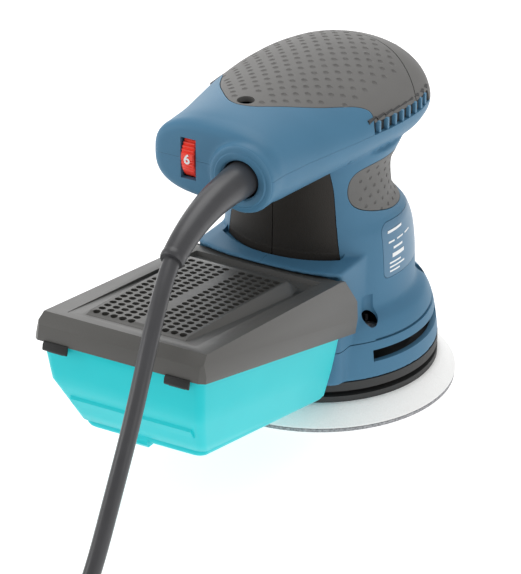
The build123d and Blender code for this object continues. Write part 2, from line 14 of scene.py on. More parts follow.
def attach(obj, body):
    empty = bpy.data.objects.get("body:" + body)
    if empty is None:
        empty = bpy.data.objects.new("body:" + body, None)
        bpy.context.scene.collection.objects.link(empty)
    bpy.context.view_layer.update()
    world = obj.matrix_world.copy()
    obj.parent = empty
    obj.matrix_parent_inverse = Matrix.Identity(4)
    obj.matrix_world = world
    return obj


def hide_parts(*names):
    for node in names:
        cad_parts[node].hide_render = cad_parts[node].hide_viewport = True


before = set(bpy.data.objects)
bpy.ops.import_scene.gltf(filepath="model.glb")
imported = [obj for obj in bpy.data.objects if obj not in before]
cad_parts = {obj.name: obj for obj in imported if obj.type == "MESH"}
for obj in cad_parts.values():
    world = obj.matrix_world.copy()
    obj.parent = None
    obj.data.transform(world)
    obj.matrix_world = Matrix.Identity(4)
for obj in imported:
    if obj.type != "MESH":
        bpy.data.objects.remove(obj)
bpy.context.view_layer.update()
MM = 0.001

# ---------------------------------------------------------------- dimensions shared with the CAD
REAR_Y, FRONT_Y = -93.0, 53.0
HEAD = np.array([   # y, half width, top, widest height, bottom, upper and lower exponent
    (-93.0, 28.5, 155.0, 140.0, 124.5, 2.9, 2.8),
    (-90.0, 30.5, 157.0, 140.0, 122.0, 2.7, 2.8),
    (-84.0, 31.5, 158.4, 140.0, 120.0, 2.35, 2.7),
    (-70.0, 33.5, 159.4, 139.5, 118.0, 2.0, 2.5),
    (-50.0, 37.5, 159.4, 138.5, 116.0, 1.85, 2.2),
    (-26.0, 42.0, 159.2, 137.0, 114.0, 1.8, 2.0),
    (0.0, 43.8, 158.6, 134.7, 112.0, 1.85, 2.0),
    (20.0, 42.0, 156.6, 132.7, 111.0, 1.9, 2.0),
    (36.0, 36.0, 152.5, 131.3, 112.5, 2.0, 2.0),
    (46.0, 27.0, 147.5, 130.5, 116.0, 2.1, 2.0),
    (53.0, 15.0, 140.5, 130.0, 120.5, 2.2, 2.0),
])
NECK = np.array([   # z, centre y, half width, half length
    (20.0, 0.0, 54.0, 54.0), (29.0, 0.0, 53.0, 53.0), (37.0, 0.0, 51.5, 51.5),
    (44.0, 0.0, 48.5, 48.5), (49.4, 0.0, 43.4, 43.4), (64.0, 0.0, 43.0, 43.0),
    (75.0, -0.5, 42.3, 42.0), (83.0, -2.0, 41.0, 40.3), (90.0, -5.0, 38.0, 37.0),
    (97.0, -7.5, 36.3, 34.5), (107.0, -8.0, 35.8, 34.0), (112.0, -8.0, 36.2, 34.5),
    (117.0, -7.0, 38.0, 36.0), (124.0, -6.0, 41.0, 37.0),
])
SEAM = [(-130, 141.5), (-28, 137.0), (90, 126.4)]
BOX_TILT = radians(13)
BOX_PLANE = (-46.0, 45.0)
BOSS = (15.5, 138.0)
BOSS_MOUTH = (BOSS[0], REAR_Y - 3.3, BOSS[1])
SPIGOT_W = -13.0    # line of the dust spigot, in the dust box's own coordinates
HEAD_SCREWS = [(0, -65, 147.5), (-9, 48, 141), (9, 48, 141)]    # X, Y and floor of each well
SKIRT_SCREWS = [(39, -23.4), (-39, -23.4), (33.5, 30.8), (-33.5, 30.8)]
WINDOW_Y, WINDOW_PITCH, WINDOWS = -24.5, 6.2, 9     # first air window, spacing and number
RELIEF = [(15.5, -88, 138), (15.5, -104, 138), (15.6, -118, 137.3), (15.8, -131, 134.8),
          (16.3, -143.5, 130.8), (17.0, -155.5, 125.3)]
LEAD = [
    (17.0, -155.5, 125.3), (20.2, -169, 116.6), (24.2, -184, 104.5), (28.0, -198.5, 90),
    (30.6, -212, 74), (31.6, -224, 57), (31.5, -244.4, 21.4), (31.3, -257.8, 10.0),
    (31.2, -274.3, 3.8), (32.2, -294, 3.8), (31.0, -318, 3.8),
]
TAIL = [(-67.0, -317.0, 11.3), (-66.5, -306, 12.6), (-66.5, -291, 12.6)]
CORD_R = 3.75
COIL = (-17.75, -345.0)
COIL_TURNS = [  # radius and height of each turn, three side by side in three layers
    (48.75, 3.8), (41.25, 3.8), (33.75, 3.8),
    (33.75, 11.3), (41.25, 11.3), (48.75, 11.3),
    (41.25, 18.8), (48.75, 18.8),
]
DIAL = (-12.2, -81.7, 140.0)
DIAL_R, DIAL_HALF = 12.5, 3.2
DIGIT_STEP = 54     # degrees from one digit to the next
ROCKER = (50.5, 127.8)


# ---------------------------------------------------------------- camera, stage and light
def aim(obj, target):
    obj.rotation_euler = (Vector(target) - obj.location).to_track_quat("-Z", "Y").to_euler()


def add_camera():
    azimuth, elevation, reach = radians(30.22), radians(26.91), 2.0
    target = Vector((0.0044, -0.060, 0.0683))
    back = Vector((sin(azimuth) * cos(elevation), -cos(azimuth) * cos(elevation), sin(elevation)))
    data = bpy.data.cameras.new("camera")
    data.lens = 285.9
    data.sensor_width = 36
    camera = bpy.data.objects.new("camera", data)
    bpy.context.collection.objects.link(camera)
    camera.location = target + reach * back
    aim(camera, target)
    bpy.context.scene.camera = camera


def add_light(name, place, target, size, power):
    data = bpy.data.lights.new(name, "AREA")
    data.shape = "DISK"
    data.size = size
    data.energy = power
    lamp = bpy.data.objects.new(name, data)
    bpy.context.collection.objects.link(lamp)
    lamp.location = place
    aim(lamp, target)


def add_stage():
    world = bpy.data.worlds.new("studio")
    bpy.context.scene.world = world
    world.use_nodes = True
    world.node_tree.nodes["Background"].inputs["Color"].default_value = (1, 1, 1, 1)
    world.node_tree.nodes["Background"].inputs["Strength"].default_value = 0.55
    bpy.context.scene.view_settings.view_transform = "Standard"
    centre = (0, -0.05, 0.08)
    add_light("overhead", (-0.2, 0.5, 1.6), centre, 1.4, 12)
    add_light("behind", (-1.5, 2.2, 0.7), centre, 2.2, 17)
    add_light("left", (-1.4, -0.9, 0.8), centre, 1.0, 7)
    add_light("right", (1.5, -0.4, 0.7), centre, 1.0, 2.5)
    bpy.ops.mesh.primitive_plane_add(size=8, location=(0, 0, 0))
    floor = bpy.context.object
    floor.name = "floor"
    mat = bpy.data.materials.new("floor")
    mat.use_nodes = True
    shader = mat.node_tree.nodes["Principled BSDF"]
    shader.inputs["Base Color"].default_value = (0.5, 0.5, 0.5, 1)
    shader.inputs["Roughness"].default_value = 0.8
    shader.inputs["Emission Color"].default_value = (1, 1, 1, 1)
    shader.inputs["Emission Strength"].default_value = 0.8
    floor.data.materials.append(mat)


# ---------------------------------------------------------------- materials
def new_material(name, colour, rough, metal=0.0, **sockets):
    mat = bpy.data.materials.new(name)
    mat.use_nodes = True
    shader = mat.node_tree.nodes["Principled BSDF"]
    shader.inputs["Base Color"].default_value = (*colour, 1)
    shader.inputs["Roughness"].default_value = rough
    shader.inputs["Metallic"].default_value = metal
    for key, value in sockets.items():
        shader.inputs[key.replace("_", " ")].default_value = value
    return mat, mat.node_tree, shader


def textured(name, colour, rough, grain=900.0, depth=0.05, tint=0.12, wear=0.0, metal=0.0, **sockets):
    """Moulded surface: fine grain in the bump, soft variation in colour and gloss, paler edges."""
    mat, tree, shader = new_material(name, colour, rough, metal, **sockets)
    nodes, links = tree.nodes, tree.links
    place = nodes.new("ShaderNodeTexCoord")
    broad = nodes.new("ShaderNodeTexNoise")
    broad.inputs["Scale"].default_value = 38.0
    broad.inputs["Detail"].default_value = 6.0
    links.new(place.outputs["Object"], broad.inputs["Vector"])
    ramp = nodes.new("ShaderNodeValToRGB")
    ramp.color_ramp.elements[0].position = 0.3
    ramp.color_ramp.elements[1].position = 0.7
    ramp.color_ramp.elements[0].color = (*[c * (1 - tint) for c in colour], 1)
    ramp.color_ramp.elements[1].color = (*[min(1, c * (1 + tint)) for c in colour], 1)
    links.new(broad.outputs["Fac"], ramp.inputs["Fac"])
    shade = ramp.outputs["Color"]
    if wear:
        geometry = nodes.new("ShaderNodeNewGeometry")
        edge = nodes.new("ShaderNodeMapRange")
        edge.inputs["From Min"].default_value = 0.53
        edge.inputs["From Max"].default_value = 0.62
        edge.inputs["To Max"].default_value = wear
        links.new(geometry.outputs["Pointiness"], edge.inputs["Value"])
        mix = nodes.new("ShaderNodeMixRGB")
        mix.inputs["Color2"].default_value = (*[min(1, 0.12 + 1.4 * c) for c in colour], 1)
        links.new(edge.outputs["Result"], mix.inputs["Fac"])
        links.new(shade, mix.inputs["Color1"])
        shade = mix.outputs["Color"]
    links.new(shade, shader.inputs["Base Color"])
    gloss = nodes.new("ShaderNodeMapRange")
    gloss.inputs["To Min"].default_value = max(0.05, rough - 0.07)
    gloss.inputs["To Max"].default_value = min(1.0, rough + 0.07)
    links.new(broad.outputs["Fac"], gloss.inputs["Value"])
    links.new(gloss.outputs["Result"], shader.inputs["Roughness"])
    fine = nodes.new("ShaderNodeTexNoise")
    fine.inputs["Scale"].default_value = grain
    fine.inputs["Detail"].default_value = 3.0
    links.new(place.outputs["Object"], fine.inputs["Vector"])
    bump = nodes.new("ShaderNodeBump")
    bump.inputs["Strength"].default_value = 0.5
    bump.inputs["Distance"].default_value = depth * MM
    links.new(fine.outputs["Fac"], bump.inputs["Height"])
    links.new(bump.outputs["Normal"], shader.inputs["Normal"])
    return mat


def patterned(name, colours, rough, scale, depth, kind="cells", metal=0.0):
    """Surface with a regular relief: cells of a foam, hooks of a fabric, wire or sheet layers."""
    mat, tree, shader = new_material(name, colours[0], rough, metal)
    nodes, links = tree.nodes, tree.links
    place = nodes.new("ShaderNodeTexCoord")
    if kind == "cells":
        relief = nodes.new("ShaderNodeTexVoronoi")
        relief.inputs["Scale"].default_value = scale
        height = relief.outputs["Distance"]
    else:
        relief = nodes.new("ShaderNodeTexWave")
        relief.bands_direction = kind
        relief.inputs["Scale"].default_value = scale
        relief.inputs["Distortion"].default_value = 0.6
        height = relief.outputs["Fac"]
    links.new(place.outputs["Object"], relief.inputs["Vector"])
    ramp = nodes.new("ShaderNodeValToRGB")
    ramp.color_ramp.elements[0].color = (*colours[0], 1)
    ramp.color_ramp.elements[1].color = (*colours[1], 1)
    links.new(height, ramp.inputs["Fac"])
    links.new(ramp.outputs["Color"], shader.inputs["Base Color"])
    bump = nodes.new("ShaderNodeBump")
    bump.inputs["Strength"].default_value = 0.7
    bump.inputs["Distance"].default_value = depth * MM
    links.new(height, bump.inputs["Height"])
    links.new(bump.outputs["Normal"], shader.inputs["Normal"])
    return mat


BLUE = textured("blue_plastic", (0.070, 0.195, 0.315), 0.48, 1500, 0.06, 0.04, 0.25, Specular_IOR_Level=0.25)
GRIP = textured("grip_rubber", (0.150, 0.147, 0.142), 0.6, 1800, 0.10, 0.06, 0.15, Specular_IOR_Level=0.35)
PANEL = textured("neck_rubber", (0.028, 0.024, 0.020), 0.62, 1800, 0.12, 0.10, 0.0, Specular_IOR_Level=0.3)
DARK = textured("dark_plastic", (0.060, 0.058, 0.053), 0.4, 1500, 0.08, 0.05, 0.3, Specular_IOR_Level=0.35)
BLACK = textured("black_plastic", (0.006, 0.006, 0.006), 0.6, 1200, 0.05, 0.2, 0.2)
LEAD_RUBBER = textured("lead_rubber", (0.050, 0.050, 0.054), 0.36, 700, 0.03, 0.15)
RED = textured("red_plastic", (0.93, 0.045, 0.022), 0.38, 1200, 0.03, 0.06, 0.2)
LABEL = textured("label_film", (0.085, 0.205, 0.325), 0.36, 500, 0.01, 0.02)
PRINT = textured("label_print", (0.85, 0.87, 0.88), 0.4, 500, 0.01, 0.03)
FOAM = patterned("white_foam", ((0.95, 0.95, 0.94), (0.99, 0.99, 0.98)), 0.85, 1400, 0.12)
HOOKS = patterned("hook_fabric", ((0.20, 0.20, 0.21), (0.50, 0.50, 0.52)), 0.9, 900, 0.5)
PAPER = patterned("filter_paper", ((0.62, 0.58, 0.48), (0.74, 0.70, 0.60)), 0.85, 1200, 0.05)
STEEL = textured("ground_steel", (0.60, 0.60, 0.62), 0.25, 1600, 0.01, 0.05, 0.3, metal=1.0)
ZINC = textured("zinc_steel", (0.42, 0.42, 0.43), 0.38, 1100, 0.02, 0.12, 0.3, metal=1.0)
ALLOY = textured("cast_alloy", (0.55, 0.56, 0.57), 0.5, 700, 0.08, 0.08, 0.2, metal=1.0)
SHEETS = patterned("core_steel", ((0.20, 0.20, 0.21), (0.42, 0.42, 0.43)), 0.4, 420, 0.1, "Z", 1.0)
WIRE = patterned("copper", ((0.45, 0.16, 0.06), (0.80, 0.36, 0.17)), 0.35, 300, 0.2, "X", 1.0)
BRASS = textured("plug_brass", (0.66, 0.62, 0.50), 0.25, 900, 0.01, 0.05, 0.2, metal=1.0)
CARBON = textured("carbon", (0.03, 0.03, 0.03), 0.7, 1400, 0.05, 0.2)
BOARD = textured("circuit_board", (0.02, 0.14, 0.06), 0.35, 600, 0.02, 0.15)


def clear_plastic():
    """Turquoise see-through plastic, a little milky, with a faint painted glow."""
    mat, tree, shader = new_material("turquoise_clear", (0.02, 0.60, 0.64), 0.3, Specular_IOR_Level=0.3)
    shader.inputs["Transmission Weight"].default_value = 0.2
    # Painted glow: a faint turquoise emission brightens the bin as if light shone through it
    shader.inputs["Emission Color"].default_value = (0.02, 0.60, 0.64, 1)
    shader.inputs["Emission Strength"].default_value = 0.12
    shader.inputs["IOR"].default_value = 1.35
    nodes, links = tree.nodes, tree.links
    place = nodes.new("ShaderNodeTexCoord")
    cloud = nodes.new("ShaderNodeTexNoise")
    cloud.inputs["Scale"].default_value = 22.0
    cloud.inputs["Detail"].default_value = 3.0
    links.new(place.outputs["Object"], cloud.inputs["Vector"])
    ramp = nodes.new("ShaderNodeValToRGB")
    ramp.color_ramp.elements[0].color = (0.01, 0.56, 0.61, 1)
    ramp.color_ramp.elements[1].color = (0.03, 0.66, 0.70, 1)
    links.new(cloud.outputs["Fac"], ramp.inputs["Fac"])
    links.new(ramp.outputs["Color"], shader.inputs["Base Color"])
    fine = nodes.new("ShaderNodeTexNoise")
    fine.inputs["Scale"].default_value = 300.0
    links.new(place.outputs["Object"], fine.inputs["Vector"])
    bump = nodes.new("ShaderNodeBump")
    bump.inputs["Strength"].default_value = 0.25
    bump.inputs["Distance"].default_value = 0.05 * MM
    links.new(fine.outputs["Fac"], bump.inputs["Height"])
    links.new(bump.outputs["Normal"], shader.inputs["Normal"])
    return mat


CLEAR = clear_plastic()


# ---------------------------------------------------------------- mesh helpers
def add_mesh(name, verts, faces):
    mesh = bpy.data.meshes.new(name)
    mesh.from_pydata([tuple(v) for v in np.asarray(verts, float) * MM], [], [list(f) for f in faces])
    obj = bpy.data.objects.new(name, mesh)
    bpy.context.collection.objects.link(obj)
    return obj


def rings_mesh(name, rings):
    """Closed tube through rings of points, with a fan at each end."""
    rings = np.asarray(rings, float)
    m, n = rings.shape[:2]
    verts = np.vstack([rings.reshape(-1, 3), rings[0].mean(0), rings[-1].mean(0)])
    faces = []
    for i in range(m - 1):
        for j in range(n):
            k = (j + 1) % n
            faces.append((i * n + j, i * n + k, (i + 1) * n + k, (i + 1) * n + j))
    for j in range(n):
        k = (j + 1) % n
        faces.append((m * n, k, j))
        faces.append((m * n + 1, (m - 1) * n + j, (m - 1) * n + k))
    obj = add_mesh(name, verts, faces)
    outward(obj)
    return obj


def outward(obj):
    bm = bmesh.new()
    bm.from_mesh(obj.data)
    bmesh.ops.recalc_face_normals(bm, faces=bm.faces)
    bm.to_mesh(obj.data)
    bm.free()


def prism(name, points, step):
    """Polygon of 3-D points drawn out by a vector."""
    low = np.asarray(points, float)
    high = low + np.asarray(step, float)
    n = len(low)
    faces = [range(n), range(2 * n - 1, n - 1, -1)]
    faces += [(j, (j + 1) % n, n + (j + 1) % n, n + j) for j in range(n)]
    obj = add_mesh(name, np.vstack([low, high]), faces)
    outward(obj)
    return obj


def side_prism(points, x0=-90, x1=90):
    return prism("side_prism", [(x0, y, z) for y, z in points], (x1 - x0, 0, 0))


def rear_prism(points, y0, y1):
    return prism("rear_prism", [(x, y0, z) for x, z in points], (0, y1 - y0, 0))


def plan_prism(points, z0, z1):
    return prism("plan_prism", [(x, y, z0) for x, y in points], (0, 0, z1 - z0))


def block(x0, x1, y0, y1, z0, z1):
    return plan_prism([(x0, y0), (x1, y0), (x1, y1), (x0, y1)], z0, z1)


def circle(radius, height, sides):
    turns = [2 * pi * k / sides for k in range(sides)]
    return [Vector((radius * cos(a), radius * sin(a), height)) for a in turns]


def rod(start, end, radius, sides=48):
    """Round bar between two points."""
    start, end = Vector(start), Vector(end)
    turn = (end - start).to_track_quat("Z", "Y")
    rings = [[place + turn @ p for p in circle(radius, 0, sides)] for place in (start, end)]
    return rings_mesh("rod", rings)


def lathe(name, profile, centre, axis, sides=96):
    """Outline of (distance along the axis, radius) turned about the axis."""
    turn = Vector(axis).to_track_quat("Z", "Y")
    rings = []
    for along, r in profile:
        rings.append([Vector(centre) + turn @ p for p in circle(r, along, sides)])
    return rings_mesh(name, rings)


def remove(*objects):
    for obj in objects:
        bpy.data.objects.remove(obj, do_unlink=True)


def apply(obj):
    """Bakes the modifiers of an object into its mesh."""
    graph = bpy.context.evaluated_depsgraph_get()
    mesh = bpy.data.meshes.new_from_object(obj.evaluated_get(graph))
    old = obj.data
    obj.modifiers.clear()
    obj.data = mesh
    bpy.data.meshes.remove(old)


def boolean(obj, tools, how="DIFFERENCE", keep=False):
    """Cuts, adds or keeps the common part, with closed meshes."""
    tools = tools if isinstance(tools, (list, tuple)) else [tools]
    for tool in tools:
        mod = obj.modifiers.new("boolean", "BOOLEAN")
        mod.operation = how
        mod.solver = "MANIFOLD"
        mod.object = tool
    apply(obj)
    if not keep:
        remove(*tools)
    return obj


def copy(obj, name):
    twin = obj.copy()
    twin.data = obj.data.copy()
    twin.name = name
    bpy.context.collection.objects.link(twin)
    return twin


def joined(name, objects):
    """One object made of several."""
    bm = bmesh.new()
    for obj in objects:
        bm.from_mesh(obj.data)
    obj = objects[0]
    bm.to_mesh(obj.data)
    bm.free()
    obj.name = name
    remove(*objects[1:])
    return obj


def round_edges(obj, width, segments, angle):
    """Bevels every edge that is sharper than an angle."""
    mod = obj.modifiers.new("bevel", "BEVEL")
    mod.width = width * MM
    mod.segments = segments
    mod.limit_method = "ANGLE"
    mod.angle_limit = radians(angle)
    mod.use_clamp_overlap = True
    apply(obj)


def finish_mesh(obj, material, angle=32, bevel=0.0):
    """Gives the material and smooth shading, with sharp edges above an angle."""
    if bevel:
        round_edges(obj, bevel, 2, 30)
    obj.data.materials.clear()
    obj.data.materials.append(material)
    obj.data.shade_smooth()
    obj.data.set_sharp_from_angle(angle=radians(angle))


def piece(obj, name, body, replaced=()):
    obj.name = name
    obj.data.name = name
    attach(obj, body)
    if replaced:
        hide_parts(*replaced)


def smooth_rows(rows, at, tight=False):
    """Every column of the rows at the places asked for, by cubic pieces."""
    xs = rows[:, 0]
    step = np.diff(xs)
    k = np.clip(np.searchsorted(xs, at, side="right") - 1, 0, len(step) - 1)
    t = (at - xs[k]) / step[k]
    out = []
    for column in rows[:, 1:].T:
        slope = np.diff(column) / step
        m = np.zeros(len(xs))
        if tight:
            same = slope[:-1] * slope[1:] > 0
            m[1:-1][same] = (2 * slope[:-1] * slope[1:])[same] / (slope[:-1] + slope[1:])[same]
        else:
            m[1:-1] = (slope[:-1] * step[1:] + slope[1:] * step[:-1]) / (step[:-1] + step[1:])
        m[0], m[-1] = slope[0], slope[-1]
        out.append(column[k] * (1 + 2 * t) * (1 - t) ** 2 + m[k] * step[k] * t * (1 - t) ** 2
                   + column[k + 1] * t * t * (3 - 2 * t) + m[k + 1] * step[k] * t * t * (t - 1))
    return np.array(out).T


# ---------------------------------------------------------------- lead, coil and plug
def nurbs(name, points, radius, material):
    data = bpy.data.curves.new(name, "CURVE")
    data.dimensions = "3D"
    data.bevel_depth = radius * MM
    data.bevel_resolution = 6
    data.resolution_u = 8
    data.use_fill_caps = True
    spline = data.splines.new("NURBS")
    spline.points.add(len(points) - 1)
    for point, place in zip(spline.points, points):
        point.co = (*[c * MM for c in place], 1)
    spline.order_u = 3
    spline.use_endpoint_u = True
    obj = bpy.data.objects.new(name, data)
    bpy.context.collection.objects.link(obj)
    data.materials.append(material)
    return obj


def coil_points():
    """Turns of the coil, clockwise from above, as seen from the lead's arrival on its right."""
    steps = 14
    points = []
    count = len(COIL_TURNS) * steps + steps // 2
    for k in range(1, count):
        turn = k / steps
        whole = min(int(turn), len(COIL_TURNS) - 1)
        after = min(whole + 1, len(COIL_TURNS) - 1)
        share = min(1.0, max(0.0, (turn - whole - 0.6) / 0.4)) if after > whole else 0.0
        r0, z0 = COIL_TURNS[whole]
        r1, z1 = COIL_TURNS[after]
        angle = -2 * pi * turn
        r = r0 + (r1 - r0) * share
        points.append((COIL[0] + r * cos(angle), COIL[1] + r * sin(angle), z0 + (z1 - z0) * share))
    return points


def add_lead():
    points = RELIEF[1:-1] + LEAD + coil_points() + TAIL
    lead = nurbs("mains_lead", points, CORD_R, LEAD_RUBBER)
    piece(lead, "mains_lead", "housing",
          ("mains_cord", "mains_cord_coil", "mains_cord_tail"))
    return lead


# ---------------------------------------------------------------- shells
def head_section(row, inset, count):
    half, top, side, low, p_top, p_low = row
    a = 2 * pi * (np.arange(count) + 0.5) / count
    c, s = np.cos(a), np.sin(a)
    power = np.where(s >= 0, p_top, p_low)
    height = np.where(s >= 0, top - side, side - low) - inset
    x = (half - inset) * np.sign(c) * np.abs(c) ** (2 / power)
    z = side + height * np.sign(s) * np.abs(s) ** (2 / power)
    return x, z


def head_form(inset=0.0, rows=110, count=240):
    rear, front = 2.0, 6.0      # roundings of the two ends
    places = []
    for t in np.linspace(0, pi / 2, 7):
        places.append((REAR_Y + inset + rear * (1 - cos(t)), inset + rear * (1 - sin(t))))
    for y in np.linspace(REAR_Y + inset + rear, FRONT_Y - inset - front, rows)[1:-1]:
        places.append((y, inset))
    for t in np.linspace(0, pi / 2, 12):
        places.append((FRONT_Y - inset - front * (1 - sin(t)), inset + 0.7 * front * (1 - cos(t))))
    at = np.array([p[0] for p in places])
    dims = smooth_rows(HEAD, at)
    rings = []
    for (y, shrink), row in zip(places, dims):
        x, z = head_section(row, shrink, count)
        rings.append(np.stack([x, np.full(count, y), z], axis=1))
    return rings_mesh("head_form", rings)


def neck_form(z0, z1, inset=0.0, count=240):
    at = np.linspace(z0, z1, 90)
    a = 2 * pi * (np.arange(count) + 0.5) / count
    rings = []
    for z, (cy, half, length) in zip(at, smooth_rows(NECK, at, tight=True)):
        x, y = (half - inset) * np.cos(a), cy + (length - inset) * np.sin(a)
        rings.append(np.stack([x, y, np.full(count, z)], axis=1))
    return rings_mesh("neck_form", rings)


def box_point(v, w):
    return (BOX_PLANE[0] - v * cos(BOX_TILT) + w * sin(BOX_TILT),
            BOX_PLANE[1] + v * sin(BOX_TILT) + w * cos(BOX_TILT))


def mirrored(points, middle=()):
    """Outline from points on one side, the middle, and their twins on the other side."""
    return points + list(middle) + [(-x, y) for x, y in reversed(points)]


def port_block():
    """Block behind the skirt that the lid meets, with a curved edge and a top that falls to both sides."""
    low, high = box_point(5.0, -22.6), box_point(5.0, 28.4)
    brim = [(-54, 75.9), (-54, 76.6), (-53, 77.2), (-50, 77.5)]
    side = side_prism([(-15, 20.6), (low[0], 20.6), high] + brim + [(-15, 77.5)], -42, 42)
    fall = mirrored([(-60, 10), (-60, 73), (-42, 74.8), (-30, 76.9)], [(0, 77.6)])
    boolean(side, rear_prism(fall, -110, -10), "INTERSECT")
    edge = [(-36.5, -10), (-36.5, -44.0), (-35, -46.5), (-31, -49.2), (-24, -51.6), (-12, -53.5)]
    return boolean(side, plan_prism(mirrored(edge, [(0, -54)]), 15, 100), "INTERSECT")


def seam_z(y):
    (y0, z0), (y1, z1) = SEAM[:2] if y < SEAM[1][0] else SEAM[1:]
    return z0 + (z1 - z0) * (y - y0) / (y1 - y0)


def above(lift):
    return side_prism([(y, z + lift) for y, z in SEAM] + [(90, 185), (-130, 185)])


def below(drop, floor):
    return side_prism([(y, z - drop) for y, z in SEAM] + [(90, floor), (-130, floor)])


def grown(points, by):
    """Outline moved outwards by a small distance."""
    points = np.array(points, float)
    before, after = np.roll(points, 1, axis=0), np.roll(points, -1, axis=0)
    area = np.sum(points[:, 0] * after[:, 1] - after[:, 0] * points[:, 1])
    along = (after - before) / np.linalg.norm(after - before, axis=1)[:, None]
    normal = np.stack([along[:, 1], -along[:, 0]], axis=1) * np.sign(area)
    return [tuple(p) for p in points + by * normal]


def rounded(points, radius):
    """Outline with a short curve in place of each corner, starting up to a radius away from it."""
    points = np.array(points, float)
    ring = []
    for before, here, after in zip(np.roll(points, 1, axis=0), points, np.roll(points, -1, axis=0)):
        legs = [before - here, after - here]
        start, end = [here + leg * min(radius / np.linalg.norm(leg), 0.45) for leg in legs]
        for t in (0.0, 0.2, 0.4, 0.6, 0.8, 1.0):
            ring.append(tuple((1 - t) ** 2 * start + 2 * t * (1 - t) * here + t * t * end))
    return ring


GRIP_SIDE = [   # X, Y of the rubber's right edge on the head, seen from above
    (6, -68.6), (11, -63.5), (19, -53.5), (25, -44.5), (30, -34.5), (33.5, -27), (37, -22.2),
    (40, -22.6), (42, -26), (60, -34), (60, 80),
]
GRIP_LINE = [(0, -70.5)] + mirrored(GRIP_SIDE)
SIDE_GRIP_LINE = [   # Y, Z
    (-27.2, 105), (-26.8, 112.5), (-24.5, 116.5), (-18, 118.4), (-8, 119), (60, 119),
    (60, 89), (12, 89), (-2, 90.8), (-14, 94), (-21.5, 96.8), (-25.5, 100),
]
PANEL_LINE = [   # X, Z
    (-28.6, 75.2), (28.6, 75.2), (28.0, 77), (26.0, 92), (24.4, 119),
    (-24.4, 119), (-26.0, 92), (-28.0, 77),
]
GAP = 0.35      # dark line between two shells


def blue_form():
    """Head, neck, skirt, dust port block and lead boss run into one another, with soft corners."""
    form = head_form()
    boolean(form, [neck_form(20, 124), port_block()], "UNION")
    profile = [(0, 2.0), (0, 14.6), (0.8, 15.8), (8, 15.8), (8, 2)]
    boss = lathe("boss", profile, BOSS_MOUTH, (0, 1, 0))
    boolean(form, boss, "UNION")
    mod = form.modifiers.new("remesh", "REMESH")
    mod.mode = "VOXEL"
    mod.voxel_size = 0.85 * MM
    apply(form)
    mod = form.modifiers.new("smooth", "SMOOTH")
    mod.factor = 0.5
    mod.iterations = 7
    apply(form)
    gutter = boolean(neck_form(74.9, 79.5, -3.4), neck_form(60, 90, -0.1))
    boolean(gutter, block(-30, 30, -60, -22, 70, 85), "INTERSECT")
    return boolean(form, gutter)


def dimples(points, normals, radius, depth):
    """Small spheres that leave shallow round hollows."""
    bm = bmesh.new()
    for place, normal in zip(points, normals):
        centre = (np.array(place) + np.array(normal) * (radius - depth)) * MM
        spot = Matrix.Translation(centre)
        bmesh.ops.create_icosphere(bm, subdivisions=2, radius=radius * MM, matrix=spot)
    mesh = bpy.data.meshes.new("dimples")
    bm.to_mesh(mesh)
    bm.free()
    obj = bpy.data.objects.new("dimples", mesh)
    bpy.context.collection.objects.link(obj)
    return obj


def head_dimples():
    """Staggered rows over the crown, clear of the rear screw, the grip's rear corners and the front arc."""
    points, normals = [], []
    for row, y in enumerate(np.arange(-63, 40, 4.4)):
        half, top, side, _, p_top, _ = smooth_rows(HEAD, np.array([y]))[0]
        slope_y = smooth_rows(HEAD, np.array([y + 1.0]))[0][1] - top
        for column in range(-7, 8):
            x = (column + 0.5 * (row % 2)) * 6.8
            past_arc = y > 31 - 0.0125 * x * x
            over_screw = abs(x) < 6.5 and y < -58
            past_corner = y < -36 and abs(x) > 5 + 0.66 * (y + 70)
            if abs(x) > 0.76 * half or past_arc or over_screw or past_corner:
                continue
            share = abs(x) / half
            z = side + (top - side) * (1 - share ** p_top) ** (1 / p_top)
            slope_x = -(top - side) / half * share ** (p_top - 1) * np.sign(x) * 1.1
            normal = np.array([-slope_x, -slope_y, 1.0])
            points.append((x, y, z))
            normals.append(normal / np.linalg.norm(normal))
    return dimples(points, normals, 2.0, 0.75)


def neck_dimples():
    points, normals = [], []
    for row, z in enumerate(np.arange(93.5, 117, 4.3)):
        cy, half, length = smooth_rows(NECK, np.array([z]), tight=True)[0]
        for k in range(30):
            a = radians(-24 + (k + 0.5 * (row % 2)) * 9.6)
            place = np.array([half * cos(a), cy + length * sin(a), z])
            edge = -22 + 0.9 * max(0, 99 - z)
            if place[1] < edge:
                continue
            points.append(tuple(place))
            normals.append((cos(a), sin(a), 0))
    return dimples(points, normals, 1.15, 0.6)


def add_shells():
    form = blue_form()
    cavity = head_form(2.6, 50, 96)
    boolean(cavity, [neck_form(17, 124, 2.6, 96)], "UNION")
    boolean(form, cavity)
    bore = [(0, *box_point(v, SPIGOT_W)) for v in (-12, 12)]
    boolean(form, [
        rod((BOSS[0], -110, BOSS[1]), (BOSS[0], -80, BOSS[1]), 9.0),
        block(DIAL[0] - 3.8, DIAL[0] + 3.8, -98, -86, DIAL[2] - 9.6, DIAL[2] + 9.6),
        block(-4.8, 4.8, 46, 58, ROCKER[1] - 4.9, ROCKER[1] + 4.9),
        rod(bore[0], bore[1], 11.05),
    ])
    add_head(copy(form, "head"))
    add_housing(copy(form, "lower"))
    add_skirt(form)
    add_boss_rim()


def add_boss_rim():
    """Raised rim round the lead's way out."""
    profile = [(2.5, 9.4), (-0.4, 9.4), (-0.75, 9.9), (-0.75, 12.2),
               (-0.2, 12.8), (-0.2, 14.3), (0.5, 15.2), (2.5, 15.4)]
    rim = lathe("rim", profile, BOSS_MOUTH, (0, 1, 0), 128)
    boolean(rim, lathe("bore", [(2.4, 6), (-0.8, 6), (-0.8, 9.35), (2.4, 9.35)], BOSS_MOUTH, (0, 1, 0)))
    finish_mesh(rim, BLUE, 40)
    piece(rim, "lead_boss_rim", "housing")


